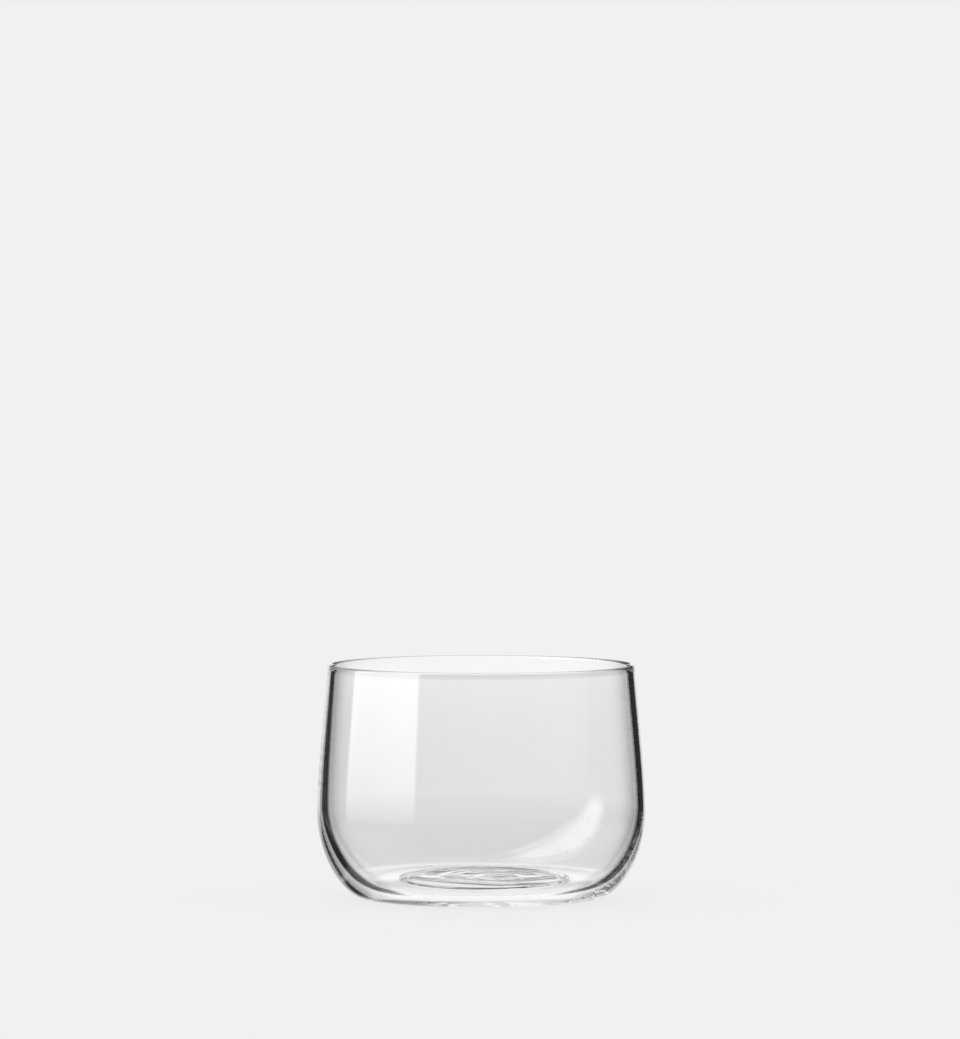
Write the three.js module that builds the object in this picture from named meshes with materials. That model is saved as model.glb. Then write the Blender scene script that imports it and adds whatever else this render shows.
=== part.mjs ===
// A low, clear espresso glass: one piece of blown glass, turned about +Z.
// It stands on a flat ring at z = 0, and the origin is the centre of that ring. Sizes are in millimetres.
import * as THREE from 'three';

// Outside form
const HEIGHT = 46.4; // table to the top of the rim
const RIM_DIAMETER = 60.8;
const RIM_LEAN_DEG = 4.6; // the wall leans in this far from upright just under the rim
const BELLY_DIAMETER = 65; // the widest ring
const BELLY_HEIGHT = 17.4; // of the widest ring above the table
const FOOT_DIAMETER = 44.6; // outer edge of the flat ring that the glass stands on

// How far each end of a curve keeps its own direction: the handles of the outside curves
const FOOT_HANDLE = 5; // along the table, out of the foot
const HEEL_HANDLE = 9; // straight down, from the belly
const WALL_HANDLE = 7; // straight up, from the belly
const RIM_HANDLE = 9.8; // down the leaning wall, from the rim

// Glass thickness
const RIM_WALL = 1.1;
const BELLY_WALL = 1.44;
const BASE_THICKNESS = 2.4; // table to the inside floor

// Inside form
const FLOOR_DIAMETER = 44.8; // the level part of the inside floor
const INNER_BELLY_RISE = 0.5; // the inside is widest this far above the outside belly
const FLOOR_HANDLE = 3.6; // along the floor, out of its level part
const INNER_HEEL_HANDLE = 7.9; // straight down, from the widest ring inside

// The shallow hollow under the base, with the rings that the blowing mould leaves in it
const PUNT_DIAMETER = 33;
const PUNT_RISE = 0.7;
const RIPPLE_COUNT = 3;
const RIPPLE_HEIGHT = 0.16;

// Facets
const TURN_STEPS = 64;
const HEEL_STEPS = 9;
const WALL_STEPS = 7;
const RIM_STEPS = 6;
const STEPS_PER_RIPPLE = 4;

const rimRadius = RIM_DIAMETER / 2;
const bellyRadius = BELLY_DIAMETER / 2;
const footRadius = FOOT_DIAMETER / 2;
const floorRadius = FLOOR_DIAMETER / 2;
const puntRadius = PUNT_DIAMETER / 2;
const lipRadius = RIM_WALL / 2; // the fire-polished rim is a half round
const lipHeight = HEIGHT - lipRadius;
const innerBellyRadius = bellyRadius - BELLY_WALL;
const innerBellyHeight = BELLY_HEIGHT + INNER_BELLY_RISE;
const rimLean = Math.tan(THREE.MathUtils.degToRad(RIM_LEAN_DEG));

// A profile point: distance from the axis, then height above the table.
const point = (radius, height) => new THREE.Vector2(radius, height);

const curve = (from, fromHandle, toHandle, to, steps) =>
  new THREE.CubicBezierCurve(from, fromHandle, toHandle, to).getPoints(steps);

// The underside from the axis to the edge of the hollow: a shallow dome that carries concentric ripples.
function underside() {
  const steps = RIPPLE_COUNT * STEPS_PER_RIPPLE;
  return Array.from({ length: steps + 1 }, (_, i) => {
    const share = i / steps;
    const dome = PUNT_RISE * (1 - share ** 4);
    const ripple = (RIPPLE_HEIGHT / 2) * (1 - Math.cos(2 * Math.PI * RIPPLE_COUNT * share));
    return point(puntRadius * share, dome + ripple * (1 - share));
  });
}

// The outside from the foot ring, round the heel and up to the rim.
function outside() {
  const foot = point(footRadius, 0);
  const belly = point(bellyRadius, BELLY_HEIGHT);
  const rim = point(rimRadius, lipHeight);
  const heel = curve(
    foot,
    point(footRadius + FOOT_HANDLE, 0),
    point(bellyRadius, BELLY_HEIGHT - HEEL_HANDLE),
    belly,
    HEEL_STEPS,
  );
  const wall = curve(
    belly,
    point(bellyRadius, BELLY_HEIGHT + WALL_HANDLE),
    point(rimRadius + rimLean * RIM_HANDLE, lipHeight - RIM_HANDLE),
    rim,
    WALL_STEPS,
  );
  return [...heel, ...wall.slice(1)];
}

// The half-round rim, from the outside over to the inside.
function lip() {
  const round = new THREE.EllipseCurve(rimRadius - lipRadius, lipHeight, lipRadius, lipRadius, 0, Math.PI);
  return round.getPoints(RIM_STEPS).slice(1);
}

// The inside from the rim down the wall and round to the middle of the floor.
function inside() {
  const rim = point(rimRadius - RIM_WALL, lipHeight);
  const belly = point(innerBellyRadius, innerBellyHeight);
  const floor = point(floorRadius, BASE_THICKNESS);
  const wall = curve(
    rim,
    point(rim.x + rimLean * RIM_HANDLE, lipHeight - RIM_HANDLE),
    point(innerBellyRadius, innerBellyHeight + WALL_HANDLE),
    belly,
    WALL_STEPS,
  );
  const heel = curve(
    belly,
    point(innerBellyRadius, innerBellyHeight - INNER_HEEL_HANDLE),
    point(floorRadius + FLOOR_HANDLE, BASE_THICKNESS),
    floor,
    HEEL_STEPS,
  );
  return [...wall.slice(1), ...heel.slice(1), point(0, BASE_THICKNESS)];
}

const profile = [...underside(), ...outside(), ...lip(), ...inside()];
const turned = new THREE.LatheGeometry(profile, TURN_STEPS).rotateX(Math.PI / 2);

const clearGlass = new THREE.MeshStandardMaterial({
  color: 0xf4f5f5,
  roughness: 0.02,
  metalness: 0,
  transparent: true,
  opacity: 0.3,
});

const glassBody = new THREE.Mesh(turned, clearGlass);
glassBody.name = 'glass_body';

const espressoGlass = new THREE.Group();
espressoGlass.add(glassBody);

export default espressoGlass;
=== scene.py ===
"""Dresses a low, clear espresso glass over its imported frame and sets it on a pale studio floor."""

import math

import bpy
from bpy.props import FloatProperty, FloatVectorProperty, IntProperty, PointerProperty
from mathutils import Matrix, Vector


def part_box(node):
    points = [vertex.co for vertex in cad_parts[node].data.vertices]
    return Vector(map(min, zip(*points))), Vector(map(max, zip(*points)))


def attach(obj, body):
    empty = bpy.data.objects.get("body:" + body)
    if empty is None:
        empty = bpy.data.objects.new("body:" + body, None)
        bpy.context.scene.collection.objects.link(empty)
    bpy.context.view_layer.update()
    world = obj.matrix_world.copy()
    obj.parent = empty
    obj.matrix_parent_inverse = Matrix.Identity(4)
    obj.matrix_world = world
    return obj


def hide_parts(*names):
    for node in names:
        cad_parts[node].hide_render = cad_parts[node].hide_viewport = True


bl_info = {
    "name": "Espresso Glass",
    "version": (1, 0, 0),
    "blender": (4, 5, 0),
    "location": "View3D > Sidebar > Espresso Glass",
    "description": "Blows a clear espresso glass over its frame and sets up the studio",
    "category": "Object",
}

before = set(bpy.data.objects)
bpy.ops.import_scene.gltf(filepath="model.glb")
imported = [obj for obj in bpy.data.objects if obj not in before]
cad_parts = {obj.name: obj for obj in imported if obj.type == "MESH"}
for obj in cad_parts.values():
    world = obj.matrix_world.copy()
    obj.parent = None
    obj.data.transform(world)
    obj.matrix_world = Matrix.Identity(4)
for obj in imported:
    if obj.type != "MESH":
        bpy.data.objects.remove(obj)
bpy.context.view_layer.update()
body_low, body_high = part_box("glass_body")
MM = 0.001

# How far each end of a curve in the profile keeps its own direction, and how the wall leans in at the rim
FOOT_HANDLE = 5 * MM
HEEL_HANDLE = 9 * MM
WALL_HANDLE = 7 * MM
RIM_HANDLE = 9.8 * MM
RIM_LEAN = math.tan(math.radians(4.6))

# The step in the inside floor starts and ends this far outside and inside the hollow's edge below it
STEP_OUTSIDE = 0.7 * MM
STEP_INSIDE = 0.3 * MM

# Points along the stretches of the profile
HOLLOW_STEPS = 48
FOOT_STEPS = 6
HEEL_STEPS = 56
WALL_STEPS = 30
LIP_STEPS = 12
FLOOR_RING_STEPS = 4
FLOOR_STEP_STEPS = 8
FLOOR_STEPS = 30

# Corners closer than this are one, as at the axis and where the spin ends
WELD_DISTANCE = 0.002 * MM

# The blown rings: their strength within each share of the hollow's radius, then their place and pattern
SWIRL_FADE = ((0.99, 0.25), (0.96, 0.5), (0.92, 0.75), (0.86, 1.0))
SWIRL_CENTRE = (4 * MM, 1 * MM, 0)
SWIRL_SCALE = (26 * MM, 20 * MM, 60 * MM)
SWIRL_NOISE = 0.5
SWIRL_TURBULENCE = 2.5

# The bubble's drift: slack in telling its faces apart, the depth of its floor and how far up it reaches
FLOOR_SLACK = 0.1 * MM
FLOOR_DEPTH = 0.5 * MM
INWARD_SLACK = 0.02
DRIFT_REACH = 45 * MM

# The glass: where a face counts as inside, where the view of it is grazing, the near-black painted shade laid
# on the inside wall there, and the waves of its surface
GLASS_IOR = 1.5
INSIDE_FACING = (-0.25, -0.42)
GRAZING_VIEW = (0.76, 0.87)
PAINTED_EDGE_SHADE = (0.002, 0.002, 0.002, 1)
WAVE_STRETCH = (1, 1, 0.45)
WAVE_SCALE = 75
WAVE_STRENGTH = 0.04
WAVE_DEPTH = 0.3 * MM

# The pale surround: its brightness at each height above the horizon in degrees, where white is 1
PALE_STOPS = (
    (-90, 0.95),
    (-35, 0.97),
    (-25, 0.86),
    (-15, 0.75),
    (-11.5, 0.68),
    (-9, 0.68),
    (-6.2, 0.72),
    (-4.8, 0.78),
    (-3.4, 0.88),
    (-2.6, 0.97),
)

# Brightness of what else the glass shows; the sides fall off from left to right
NEAR_WALL_LEVEL = 0.95
SIDE_LEVEL = 0.65
SIDE_FALL = -0.15
TABLE_LEVEL = 1.0
BACKDROP_LEVEL = 1.15
DIM_LEVEL = 0.05
OVERHEAD_LEVEL = 0.7
CHAIN_WHITE = 0.95
CHAIN_PALE = 0.72
CHAIN_GREY = 0.3
CHAIN_LONGEST = 0.6

# The floor, which the glass sees as solid near its foot and open beyond, sooner at the sides
FLOOR_RADIUS = 3
FLOOR_DROP = 0.2 * MM
OPEN_FLOOR = (27 * MM, 32 * MM)
FLOOR_SIDES = (8 * MM, 14 * MM)
FLOOR_DRAWN_IN = 6 * MM
FLOOR_LIFT = 0.2
FLOOR_SHADE = 0.12

# The camera: its place and tilt, and its focal length in pixels of a frame that is 1039 high
CAMERA_PLACE = (0, -2.0, 0.1661)
CAMERA_DIP = 2.607
CAMERA_TURN = 0.0068
SENSOR_WIDTH = 36
FOCAL_PIXELS = 10124
FRAME_HEIGHT = 1039

# How often light may turn on its way round the heel
BOUNCES = 128


def length(name, default, description):
    """A size in metres that the panel shows as a length."""
    return FloatProperty(name=name, description=description, default=default, unit="LENGTH", precision=5)


def brightness(name, default, description):
    """A light level that can't go below black."""
    return FloatProperty(name=name, description=description, default=default, min=0)


class EspressoGlassSizes(bpy.types.PropertyGroup):
    """The sizes that a glass-blower would change."""

    height: length("Height", body_high[2] - body_low[2], "Table to the top of the rim")
    belly: length("Belly", (body_high[0] - body_low[0]) / 2, "Outer radius at the widest ring")
    belly_height: length("Belly height", 17.4 * MM, "The widest ring above the table")
    rim: length("Rim", 30.4 * MM, "Outer radius at the rim")
    foot: length("Foot", 22.3 * MM, "Outer radius of the flat ring that it stands on")
    rim_wall: length("Rim wall", 1.1 * MM, "Glass thickness at the rim")
    belly_wall: length("Belly wall", 1.36 * MM, "Glass thickness at the belly")
    base: length("Base", 2.4 * MM, "Table to the inside floor")
    floor: length("Inside floor", 22.4 * MM, "Radius of the level part of the inside floor")
    inner_rise: length("Inner belly rise", 0.5 * MM, "The inside's widest ring above the outside's")
    inner_heel: length("Inner heel", 7.9 * MM, "How far the inside wall runs down before it turns in")
    floor_turn: length("Floor turn", 3.6 * MM, "How far the inside floor runs level before it turns up")
    punt: length("Hollow", 16.5 * MM, "Radius of the hollow under the base")
    punt_rise: length("Hollow depth", 0.7 * MM, "Depth of the hollow under the base")
    floor_step: length("Floor step", 0.36 * MM, "Rise of the middle of the inside floor")
    swirl: length("Swirl", 0.35 * MM, "Height of the rings that blowing leaves in the base")
    drift: length("Drift", 0.35 * MM, "How far the bubble's floor has drifted sideways in the blowing")
    turns: IntProperty(name="Turns", description="Faces round the glass", default=288, min=24, max=320)


class EspressoGlassStudio(bpy.types.PropertyGroup):
    """The studio's colours and light levels."""

    background: FloatVectorProperty(
        name="Background",
        description="Colour of the pale floor and of what lies behind it",
        subtype="COLOR",
        default=(0.8796, 0.8796, 0.8796),
        min=0,
        max=1,
    )
    daylight: brightness("Daylight", 1, "Plain soft light on the floor")
    window: brightness("Window", 6.4, "Brightness of the soft window on the left")
    skylight: brightness("Skylight", 3.3, "Brightness of the slanting skylight")
    card: brightness("Card", 0.02, "Brightness of the dark cards")


def select_none():
    """Nothing stays selected, so the next operator acts on its own piece alone."""
    bpy.ops.object.select_all(action="DESELECT")


def bezier(start, leave, arrive, end, steps):
    """Points along a curve between two profile points with a handle at each, without its first point."""
    points = []
    for i in range(1, steps + 1):
        t = i / steps
        weights = ((1 - t) ** 3, 3 * (1 - t) ** 2 * t, 3 * (1 - t) * t * t, t**3)
        corners = list(zip(weights, (start, leave, arrive, end)))
        radius = sum(weight * corner[0] for weight, corner in corners)
        height = sum(weight * corner[1] for weight, corner in corners)
        points.append((radius, height))
    return points


def glass_profile(size):
    """The turned outline as (radius, height) pairs, from the axis underneath to the axis on the floor."""
    lip = size.rim_wall / 2
    lip_height = size.height - lip
    inner_height = size.belly_height + size.inner_rise
    belly_out = (size.belly, size.belly_height)
    belly_in = (size.belly - size.belly_wall, inner_height)
    rim_out = (size.rim, lip_height)
    rim_in = (size.rim - size.rim_wall, lip_height)
    points = []
    for i in range(HOLLOW_STEPS + 1):
        share = i / HOLLOW_STEPS
        points.append((size.punt * share, size.punt_rise * (1 - share**4)))
    for i in range(1, FOOT_STEPS + 1):
        points.append((size.punt + (size.foot - size.punt) * i / FOOT_STEPS, 0.0))
    points += bezier(
        (size.foot, 0.0),
        (size.foot + FOOT_HANDLE, 0.0),
        (size.belly, size.belly_height - HEEL_HANDLE),
        belly_out,
        HEEL_STEPS,
    )
    points += bezier(
        belly_out,
        (size.belly, size.belly_height + WALL_HANDLE),
        (size.rim + RIM_LEAN * RIM_HANDLE, lip_height - RIM_HANDLE),
        rim_out,
        WALL_STEPS,
    )
    for i in range(1, LIP_STEPS + 1):
        angle = math.pi * i / LIP_STEPS
        points.append((size.rim - lip + lip * math.cos(angle), lip_height + lip * math.sin(angle)))
    points += bezier(
        rim_in,
        (rim_in[0] + RIM_LEAN * RIM_HANDLE, lip_height - RIM_HANDLE),
        (belly_in[0], inner_height + WALL_HANDLE),
        belly_in,
        WALL_STEPS,
    )
    points += bezier(
        belly_in,
        (belly_in[0], inner_height - size.inner_heel),
        (size.floor + size.floor_turn, size.base),
        (size.floor, size.base),
        HEEL_STEPS,
    )
    step_out = size.punt + STEP_OUTSIDE
    step_in = size.punt - STEP_INSIDE
    for i in range(1, FLOOR_RING_STEPS + 1):
        points.append((size.floor + (step_out - size.floor) * i / FLOOR_RING_STEPS, size.base))
    for i in range(1, FLOOR_STEP_STEPS + 1):
        share = i / FLOOR_STEP_STEPS
        rise = size.floor_step * share * share * (3 - 2 * share)
        points.append((step_out + (step_in - step_out) * share, size.base + rise))
    for i in range(1, FLOOR_STEPS + 1):
        points.append((step_in * (1 - i / FLOOR_STEPS), size.base + size.floor_step))
    return points


def turn_profile(name, points, turns):
    """Draws a profile by extruding a corner, and spins it round the upright axis into a closed piece."""
    select_none()
    bpy.ops.mesh.primitive_plane_add(size=1 * MM)
    piece = bpy.context.object
    piece.name = piece.data.name = name
    bpy.ops.object.mode_set(mode="EDIT")
    bpy.ops.mesh.select_all(action="SELECT")
    bpy.ops.mesh.merge(type="CENTER")
    bpy.ops.transform.translate(value=(points[0][0], 0, points[0][1]))
    for (r0, z0), (r1, z1) in zip(points, points[1:]):
        bpy.ops.mesh.extrude_region_move(TRANSFORM_OT_translate={"value": (r1 - r0, 0, z1 - z0)})
    bpy.ops.mesh.select_all(action="SELECT")
    bpy.ops.mesh.spin(steps=turns, angle=2 * math.pi, center=(0, 0, 0), axis=(0, 0, 1))
    bpy.ops.mesh.select_all(action="SELECT")
    bpy.ops.mesh.remove_doubles(threshold=WELD_DISTANCE)
    bpy.ops.mesh.normals_make_consistent(inside=False)
    bpy.ops.object.mode_set(mode="OBJECT")
    bpy.ops.object.shade_smooth()
    return piece


def select_where(piece, wanted):
    """Selects the vertices that pass a test and leaves the piece in edit mode."""
    bpy.ops.object.mode_set(mode="EDIT")
    bpy.ops.mesh.select_mode(type="VERT")
    bpy.ops.mesh.select_all(action="DESELECT")
    bpy.ops.object.mode_set(mode="OBJECT")
    for vertex in piece.data.vertices:
        vertex.select = wanted(vertex)
    bpy.ops.object.mode_set(mode="EDIT")


def swirl_base(piece, size):
    """Raises the uneven rings that blowing leaves in the hollow and in the floor above it."""
    select_none()
    bpy.context.view_layer.objects.active = piece
    bpy.ops.object.vertex_group_add()
    group = piece.vertex_groups.active.name
    base_top = size.base + 2 * size.floor_step
    for share, weight in SWIRL_FADE:
        reach = share * size.punt
        select_where(piece, lambda vertex: vertex.co.z < base_top and math.hypot(*vertex.co.xy) < reach)
        bpy.context.scene.tool_settings.vertex_group_weight = weight
        bpy.ops.object.vertex_group_assign()
    bpy.ops.object.mode_set(mode="OBJECT")
    bpy.ops.object.empty_add(location=SWIRL_CENTRE)
    centre = bpy.context.object
    centre.scale = SWIRL_SCALE
    rings = bpy.data.textures.new("rings", "WOOD")
    rings.wood_type = "RINGNOISE"
    rings.noise_basis_2 = "SIN"
    rings.noise_scale = SWIRL_NOISE
    rings.turbulence = SWIRL_TURBULENCE
    select_none()
    bpy.context.view_layer.objects.active = piece
    bpy.ops.object.modifier_add(type="DISPLACE")
    swirl = piece.modifiers[-1]
    swirl.texture = rings
    swirl.texture_coords = "OBJECT"
    swirl.texture_coords_object = centre
    swirl.vertex_group = group
    swirl.direction = "Z"
    swirl.mid_level = 0.0
    swirl.strength = size.swirl
    bpy.ops.object.modifier_apply(modifier=swirl.name)
    bpy.data.objects.remove(centre)


def drift_bubble(piece, size):
    """Draws the inside floor to one side, and the inside wall after it, so that the heel is uneven."""

    def inside(vertex):
        """True on the inside floor and on a wall that faces the axis."""
        radius = math.hypot(*vertex.co.xy)
        outwards = vertex.normal.x * vertex.co.x + vertex.normal.y * vertex.co.y
        faces_in = radius < size.floor or outwards < INWARD_SLACK * radius
        return vertex.co.z > size.base - FLOOR_SLACK and faces_in

    select_where(piece, inside)
    bpy.ops.mesh.hide(unselected=True)
    select_where(piece, lambda vertex: not vertex.hide and vertex.co.z < size.base + FLOOR_DEPTH)
    bpy.ops.transform.translate(
        value=(size.drift, 0, 0),
        use_proportional_edit=True,
        proportional_edit_falloff="SMOOTH",
        proportional_size=DRIFT_REACH,
    )
    bpy.ops.mesh.reveal(select=False)
    bpy.ops.object.mode_set(mode="OBJECT")


def set_socket(tree, socket, value):
    """Sets a socket to a number, or links another socket to it."""
    if isinstance(value, (int, float)):
        socket.default_value = value
    else:
        tree.links.new(value, socket)


def add_math(tree, operation, *values):
    """A math node on numbers or sockets; returns its output."""
    node = tree.nodes.new("ShaderNodeMath")
    node.operation = operation
    for socket, value in zip(node.inputs, values):
        set_socket(tree, socket, value)
    return node.outputs[0]


def add_vector(tree, operation, first):
    """A vector math node on a socket."""
    node = tree.nodes.new("ShaderNodeVectorMath")
    node.operation = operation
    tree.links.new(first, node.inputs[0])
    return node


def times(tree, first, *others):
    """The product of masks: 1 where all of them are 1."""
    for other in others:
        first = add_math(tree, "MULTIPLY", first, other)
    return first


def either(tree, first, *others):
    """The largest of masks: 1 where any of them is 1."""
    for other in others:
        first = add_math(tree, "MAXIMUM", first, other)
    return first


def smooth_step(tree, value, start, end):
    """A mask that goes smoothly from 0 at start to 1 at end, which may be the lower of the two."""
    node = tree.nodes.new("ShaderNodeMapRange")
    node.interpolation_type = "SMOOTHSTEP"
    tree.links.new(value, node.inputs["Value"])
    node.inputs["From Min"].default_value = start
    node.inputs["From Max"].default_value = end
    return node.outputs["Result"]


def between(tree, value, low, high, soft):
    """A mask that is 1 between low and high, with soft edges."""
    rise = smooth_step(tree, value, low - soft, low + soft)
    fall = smooth_step(tree, value, high + soft, high - soft)
    return times(tree, rise, fall)


def mix_value(tree, factor, first, second):
    """The first value where the factor is 0, and the second where it is 1."""
    node = tree.nodes.new("ShaderNodeMix")
    tree.links.new(factor, node.inputs["Factor"])
    set_socket(tree, node.inputs["A"], first)
    set_socket(tree, node.inputs["B"], second)
    return node.outputs["Result"]


def clear_glass():
    """Clear, colourless, fire-polished glass with faint waves, and painted shade that turns its inside wall
    near black where it is seen at a grazing angle.
    """
    material = bpy.data.materials.new("clear glass")
    material.use_nodes = True
    tree = material.node_tree
    shader = tree.nodes["Principled BSDF"]
    shader.inputs["Roughness"].default_value = 0.0
    shader.inputs["IOR"].default_value = GLASS_IOR
    shader.inputs["Transmission Weight"].default_value = 1.0
    coords = tree.nodes.new("ShaderNodeTexCoord")
    flat = add_vector(tree, "MULTIPLY", coords.outputs["Object"])
    flat.inputs[1].default_value = (1, 1, 0)
    spoke = add_vector(tree, "NORMALIZE", flat.outputs[0])
    outwards = add_vector(tree, "DOT_PRODUCT", spoke.outputs[0])
    tree.links.new(coords.outputs["Normal"], outwards.inputs[1])
    inside = smooth_step(tree, outwards.outputs["Value"], *INSIDE_FACING)
    # Painted shade: the base colour goes near black on the inside wall at grazing angles, standing in for
    # dark surroundings seen through the thick wall
    graze = tree.nodes.new("ShaderNodeLayerWeight")
    graze.inputs["Blend"].default_value = 0.5
    painted_shade_mask = times(tree, inside, smooth_step(tree, graze.outputs["Facing"], *GRAZING_VIEW))
    painted_shade_mix = tree.nodes.new("ShaderNodeMix")
    painted_shade_mix.data_type = "RGBA"
    tree.links.new(painted_shade_mask, painted_shade_mix.inputs["Factor"])
    painted_shade_mix.inputs["A"].default_value = (1, 1, 1, 1)
    painted_shade_mix.inputs["B"].default_value = PAINTED_EDGE_SHADE
    tree.links.new(painted_shade_mix.outputs["Result"], shader.inputs["Base Color"])
    stretch = tree.nodes.new("ShaderNodeMapping")
    stretch.inputs["Scale"].default_value = WAVE_STRETCH
    tree.links.new(coords.outputs["Object"], stretch.inputs["Vector"])
    waves = tree.nodes.new("ShaderNodeTexNoise")
    waves.inputs["Scale"].default_value = WAVE_SCALE
    waves.inputs["Detail"].default_value = 1.0
    tree.links.new(stretch.outputs[0], waves.inputs["Vector"])
    bump = tree.nodes.new("ShaderNodeBump")
    bump.inputs["Strength"].default_value = WAVE_STRENGTH
    bump.inputs["Distance"].default_value = WAVE_DEPTH
    tree.links.new(waves.outputs["Fac"], bump.inputs["Height"])
    tree.links.new(bump.outputs[0], shader.inputs["Normal"])
    return material


class ESPRESSOGLASS_OT_blow_glass(bpy.types.Operator):
    """Blow the glass body and give it its clear finish"""

    bl_idname = "espresso_glass.blow_glass"
    bl_label = "Blow the Glass"

    def execute(self, context):
        size = context.scene.espresso_glass_sizes
        glass = turn_profile("clear_glass_body", glass_profile(size), size.turns)
        drift_bubble(glass, size)
        swirl_base(glass, size)
        glass.data.materials.append(clear_glass())
        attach(glass, "root")
        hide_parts("glass_body")
        return {"FINISHED"}


class StudioRay:
    """Where a ray ends in the studio, in degrees, and how the glass passed it on.

    Azimuth is 0 straight ahead and positive to the right, and turned leaves out its sign.
    Height is above the horizon. Mirrorings counts reflections, and the masks after it tell
    how often the ray was mirrored and how many faces of the glass it went through.
    """

    def __init__(self, tree):
        coords = tree.nodes.new("ShaderNodeTexCoord")
        xyz = tree.nodes.new("ShaderNodeSeparateXYZ")
        tree.links.new(coords.outputs["Generated"], xyz.inputs[0])
        light = tree.nodes.new("ShaderNodeLightPath")
        walls = light.outputs["Transmission Depth"]
        self.sideways = xyz.outputs["X"]
        azimuth = add_math(tree, "ARCTAN2", xyz.outputs["X"], xyz.outputs["Y"])
        self.azimuth = add_math(tree, "DEGREES", azimuth)
        self.turned = add_math(tree, "ABSOLUTE", self.azimuth)
        self.height = add_math(tree, "DEGREES", add_math(tree, "ARCSINE", xyz.outputs["Z"]))
        self.mirrorings = light.outputs["Glossy Depth"]
        self.once = add_math(tree, "LESS_THAN", self.mirrorings, 1.5)
        self.often = smooth_step(tree, self.mirrorings, 4, 6)
        self.outside = add_math(tree, "LESS_THAN", walls, 0.5)
        self.far_wall = add_math(tree, "GREATER_THAN", walls, 2.5)
        self.one_wall = add_math(tree, "SUBTRACT", 1.0, self.far_wall)
        self.through_base = add_math(tree, "GREATER_THAN", walls, 5.5)
        self.from_camera = light.outputs["Is Camera Ray"]
        self.from_glass = either(tree, light.outputs["Is Glossy Ray"], light.outputs["Is Transmission Ray"])


def pale_surround(tree, ray):
    """The brightness of the pale surround, which changes with the height above the horizon."""
    node = tree.nodes.new("ShaderNodeValToRGB")
    node.color_ramp.interpolation = "LINEAR"
    tree.links.new(add_math(tree, "MULTIPLY_ADD", ray.height, 1 / 180, 0.5), node.inputs["Fac"])
    elements = node.color_ramp.elements
    while len(elements) < len(PALE_STOPS):
        elements.new(0.5)
    for element, (height, level) in zip(elements, PALE_STOPS):
        element.position = 0.5 + height / 180
        element.color = (level, level, level, 1)
    return node.outputs["Color"]


def mirrored_room(tree, ray, studio, pale):
    """What the glass mirrors: grey sides and dark cards, the table, the backdrop, a window and a skylight,
    and a painted shadow of the table low on the left.
    """
    azimuth, turned, height = ray.azimuth, ray.turned, ray.height
    side_level = add_math(tree, "MULTIPLY_ADD", ray.sideways, SIDE_FALL, SIDE_LEVEL)
    lift = either(tree, smooth_step(tree, height, -20, -2), smooth_step(tree, turned, 60, 110))
    sides = times(tree, smooth_step(tree, turned, 36, 62), lift)
    room = mix_value(tree, sides, studio.card, side_level)
    backdrop = mix_value(tree, smooth_step(tree, height, -26, -36), pale, TABLE_LEVEL)
    backdrop = mix_value(tree, smooth_step(tree, height, -2, 2), backdrop, BACKDROP_LEVEL)
    ahead = times(
        tree,
        smooth_step(tree, azimuth, -24, -20),
        smooth_step(tree, azimuth, 18.5, 14.5),
        smooth_step(tree, height, 10, 5),
    )
    room = mix_value(tree, ahead, room, backdrop)
    window = times(
        tree,
        between(tree, azimuth, -132.5, -70, 1.5),
        smooth_step(tree, height, -10, 11),
        smooth_step(tree, height, 40, 28),
        ray.outside,
    )
    room = mix_value(tree, window, room, studio.window)
    steep = times(tree, smooth_step(tree, height, -42, -48), ray.one_wall)
    room = mix_value(tree, steep, room, TABLE_LEVEL)
    table = times(
        tree,
        between(tree, turned, 52, 120, 6),
        smooth_step(tree, height, -6, -12),
        ray.once,
        ray.one_wall,
    )
    room = mix_value(tree, table, room, TABLE_LEVEL)
    # Painted shadow: where the outside of the glass mirrors the table low on the left, it shows dim, as if
    # shaded under the heel
    painted_contact_shadow = times(
        tree,
        between(tree, azimuth, -30, -9, 4),
        smooth_step(tree, height, -14, -20),
        ray.outside,
    )
    room = mix_value(tree, painted_contact_shadow, room, DIM_LEVEL)
    slant = add_math(tree, "MULTIPLY_ADD", height, 0.6, azimuth)
    skylight = times(
        tree,
        smooth_step(tree, slant, -100, -93),
        smooth_step(tree, azimuth, -74, -84),
        smooth_step(tree, height, -9, -4),
        smooth_step(tree, height, 80, 62),
        either(tree, ray.far_wall, smooth_step(tree, height, 15, 20)),
    )
    return mix_value(tree, skylight, room, studio.skylight)


def base_reflections(tree, ray, studio, room):
    """The room as the base shows it: dim where it is mirrored again, grey from above, a dark card ahead."""
    azimuth, turned, height = ray.azimuth, ray.turned, ray.height
    again = times(tree, smooth_step(tree, ray.mirrorings, 1, 2), smooth_step(tree, height, -20, -12))
    room = mix_value(tree, again, room, DIM_LEVEL)
    overhead = either(
        tree,
        times(tree, smooth_step(tree, ray.mirrorings, 2, 3), between(tree, height, 23, 40, 3)),
        between(tree, height, 10, 23, 3),
        times(tree, ray.often, between(tree, height, -8, 10, 3)),
    )
    overhead = times(tree, overhead, smooth_step(tree, turned, 35, 25))
    behind = either(tree, smooth_step(tree, turned, 125, 140), smooth_step(tree, height, 70, 76))
    behind = times(tree, behind, smooth_step(tree, height, 38, 44), ray.often)
    overhead = times(tree, either(tree, overhead, behind), ray.far_wall)
    room = mix_value(tree, overhead, room, OVERHEAD_LEVEL)
    base_card = times(
        tree,
        between(tree, azimuth, -30, 30, 1.5),
        smooth_step(tree, height, 3, 7),
        ray.through_base,
        ray.once,
    )
    return mix_value(tree, base_card, room, studio.card)


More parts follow.
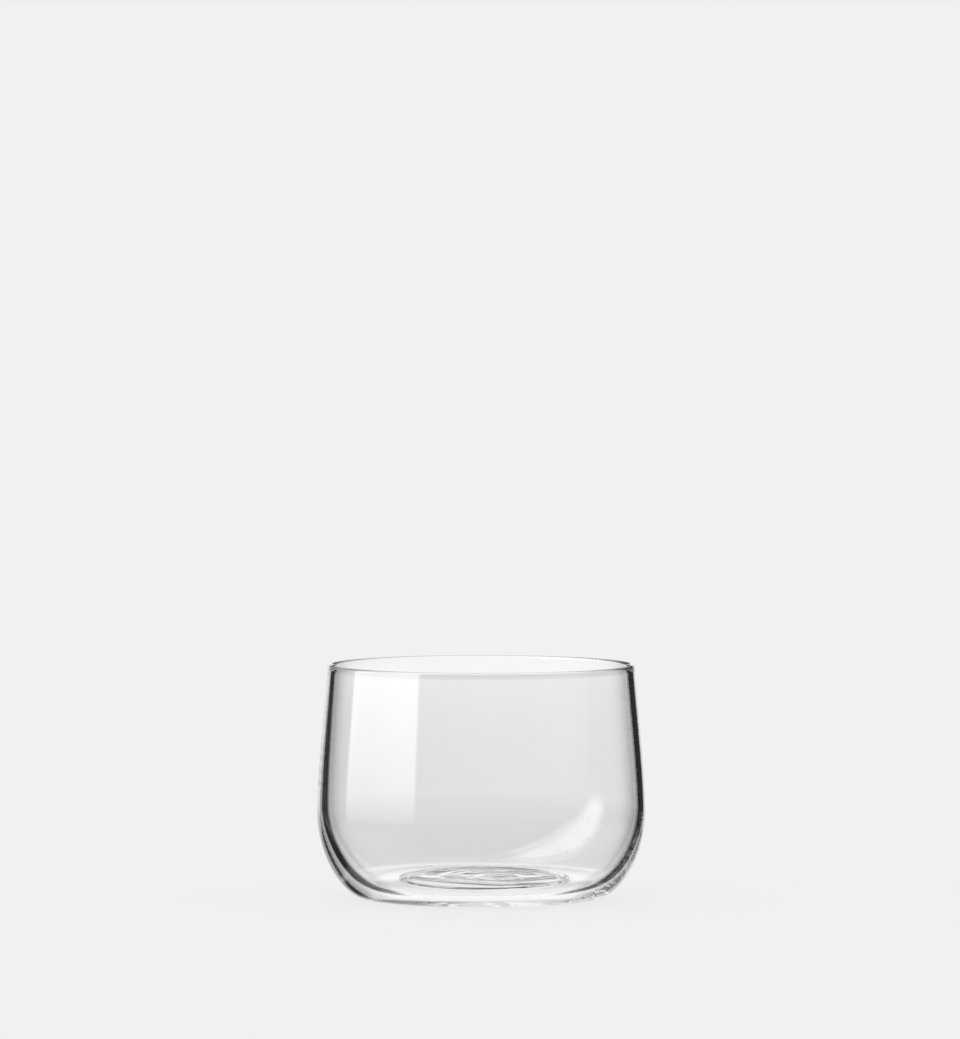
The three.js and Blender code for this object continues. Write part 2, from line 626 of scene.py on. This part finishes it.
def heel_chains(tree, ray, studio):
    """What a ray shows that was mirrored many times on its way round the heel: greys and dark cards."""
    azimuth, turned, height = ray.azimuth, ray.turned, ray.height
    level = mix_value(tree, smooth_step(tree, height, -12, -5), CHAIN_PALE, CHAIN_GREY)
    above = mix_value(tree, between(tree, azimuth, 15, 150, 4), CHAIN_PALE, studio.card)
    level = mix_value(tree, smooth_step(tree, height, 25, 32), level, above)
    opposite = times(tree, between(tree, azimuth, 45, 125, 5), between(tree, height, -8, 20, 4))
    level = mix_value(tree, opposite, level, studio.card)
    leftward = times(tree, between(tree, azimuth, -60, -15, 2), between(tree, height, -8, 12, 2))
    level = mix_value(tree, leftward, level, CHAIN_WHITE)
    rising = times(tree, smooth_step(tree, turned, 30, 25), between(tree, height, 14, 32, 3))
    level = mix_value(tree, rising, level, CHAIN_WHITE)
    wedge = times(
        tree,
        between(tree, azimuth, -12, 36, 3),
        between(tree, height, -8, 6, 2),
        smooth_step(tree, ray.mirrorings, 17, 14),
    )
    level = mix_value(tree, wedge, level, studio.card)
    return mix_value(tree, smooth_step(tree, ray.mirrorings, 32, 40), level, CHAIN_LONGEST)


def studio_world(studio):
    """Plain soft light for the floor, the pale background for the camera, and the studio for the glass."""
    world = bpy.data.worlds.new("studio")
    bpy.context.scene.world = world
    world.use_nodes = True
    world.cycles.sampling_method = "NONE"
    tree = world.node_tree
    ray = StudioRay(tree)
    pale = pale_surround(tree, ray)
    mirrored = mirrored_room(tree, ray, studio, pale)
    mirrored = base_reflections(tree, ray, studio, mirrored)
    many_times = times(tree, smooth_step(tree, ray.mirrorings, 4, 7), ray.one_wall)
    mirrored = mix_value(tree, many_times, mirrored, heel_chains(tree, ray, studio))
    clear = mix_value(tree, ray.far_wall, NEAR_WALL_LEVEL, pale)
    in_glass = mix_value(tree, add_math(tree, "MINIMUM", ray.mirrorings, 1.0), clear, mirrored)
    plain = mix_value(tree, ray.from_camera, studio.daylight, studio.background[0])
    level = mix_value(tree, ray.from_glass, plain, in_glass)
    tree.links.new(level, tree.nodes["Background"].inputs["Color"])


def floor_paint(studio):
    """Pale floor that takes the glass's shadow; the glass sees through it a little way from its foot."""
    material = bpy.data.materials.new("pale floor")
    material.use_nodes = True
    tree = material.node_tree
    for node in list(tree.nodes):
        tree.nodes.remove(node)
    out = tree.nodes.new("ShaderNodeOutputMaterial")
    white = tree.nodes.new("ShaderNodeBsdfDiffuse")
    white.inputs["Color"].default_value = (*studio.background, 1)
    glow = tree.nodes.new("ShaderNodeEmission")
    glow.inputs["Color"].default_value = (*studio.background, 1)
    clear = tree.nodes.new("ShaderNodeBsdfTransparent")
    light = tree.nodes.new("ShaderNodeLightPath")
    through_glass = light.outputs["Is Transmission Ray"]
    coords = tree.nodes.new("ShaderNodeTexCoord")
    reach = add_vector(tree, "LENGTH", coords.outputs["Object"])
    xyz = tree.nodes.new("ShaderNodeSeparateXYZ")
    tree.links.new(coords.outputs["Object"], xyz.inputs[0])
    aside = smooth_step(tree, add_math(tree, "ABSOLUTE", xyz.outputs["X"]), *FLOOR_SIDES)
    mirrored = times(tree, add_math(tree, "MINIMUM", light.outputs["Glossy Depth"], 1.0), aside)
    away = add_math(tree, "MULTIPLY_ADD", mirrored, FLOOR_DRAWN_IN, reach.outputs["Value"])
    from_glass = either(tree, light.outputs["Is Glossy Ray"], through_glass)
    seen_through = times(tree, from_glass, smooth_step(tree, away, *OPEN_FLOOR))
    strength = add_math(tree, "MULTIPLY_ADD", through_glass, FLOOR_LIFT, 1.0)
    tree.links.new(strength, glow.inputs["Strength"])
    shaded = tree.nodes.new("ShaderNodeMixShader")
    shaded.inputs[0].default_value = FLOOR_SHADE
    tree.links.new(glow.outputs[0], shaded.inputs[1])
    tree.links.new(white.outputs[0], shaded.inputs[2])
    mix = tree.nodes.new("ShaderNodeMixShader")
    tree.links.new(seen_through, mix.inputs[0])
    tree.links.new(shaded.outputs[0], mix.inputs[1])
    tree.links.new(clear.outputs[0], mix.inputs[2])
    tree.links.new(mix.outputs[0], out.inputs["Surface"])
    return material


class ESPRESSOGLASS_OT_set_studio(bpy.types.Operator):
    """Lay the pale floor, light the studio and place the camera"""

    bl_idname = "espresso_glass.set_studio"
    bl_label = "Set the Studio"

    def execute(self, context):
        studio = context.scene.espresso_glass_studio
        select_none()
        bpy.ops.mesh.primitive_circle_add(
            vertices=96,
            radius=FLOOR_RADIUS,
            fill_type="NGON",
            location=(0, 0, -FLOOR_DROP),
        )
        floor = context.object
        floor.name = "studio_floor"
        floor.data.materials.append(floor_paint(studio))
        studio_world(studio)
        select_none()
        bpy.ops.object.camera_add(
            location=CAMERA_PLACE,
            rotation=(math.radians(90 - CAMERA_DIP), 0, math.radians(CAMERA_TURN)),
        )
        camera = context.object
        camera.name = "photo_camera"
        camera.data.sensor_width = SENSOR_WIDTH
        camera.data.lens = SENSOR_WIDTH * FOCAL_PIXELS / FRAME_HEIGHT
        camera.data.clip_start = 0.1
        context.scene.camera = camera
        context.scene.view_settings.view_transform = "Standard"
        cycles = context.scene.cycles
        cycles.max_bounces = cycles.glossy_bounces = cycles.transmission_bounces = BOUNCES
        return {"FINISHED"}


class ESPRESSOGLASS_PT_panel(bpy.types.Panel):
    """Lists the sizes, the studio's levels and the steps"""

    bl_idname = "ESPRESSOGLASS_PT_panel"
    bl_label = "Espresso Glass"
    bl_space_type = "VIEW_3D"
    bl_region_type = "UI"
    bl_category = "Espresso Glass"

    def draw(self, context):
        column = self.layout.column()
        for settings in (context.scene.espresso_glass_sizes, context.scene.espresso_glass_studio):
            for name in settings.__annotations__:
                column.prop(settings, name)
        column.operator(ESPRESSOGLASS_OT_blow_glass.bl_idname)
        column.operator(ESPRESSOGLASS_OT_set_studio.bl_idname)


classes = (
    EspressoGlassSizes,
    EspressoGlassStudio,
    ESPRESSOGLASS_OT_blow_glass,
    ESPRESSOGLASS_OT_set_studio,
    ESPRESSOGLASS_PT_panel,
)


def register():
    for item in classes:
        bpy.utils.register_class(item)
    bpy.types.Scene.espresso_glass_sizes = PointerProperty(type=EspressoGlassSizes)
    bpy.types.Scene.espresso_glass_studio = PointerProperty(type=EspressoGlassStudio)


def unregister():
    del bpy.types.Scene.espresso_glass_studio
    del bpy.types.Scene.espresso_glass_sizes
    for item in reversed(classes):
        bpy.utils.unregister_class(item)


def main():
    register()
    bpy.ops.espresso_glass.blow_glass()
    bpy.ops.espresso_glass.set_studio()


if __name__ == "__main__":
    main()
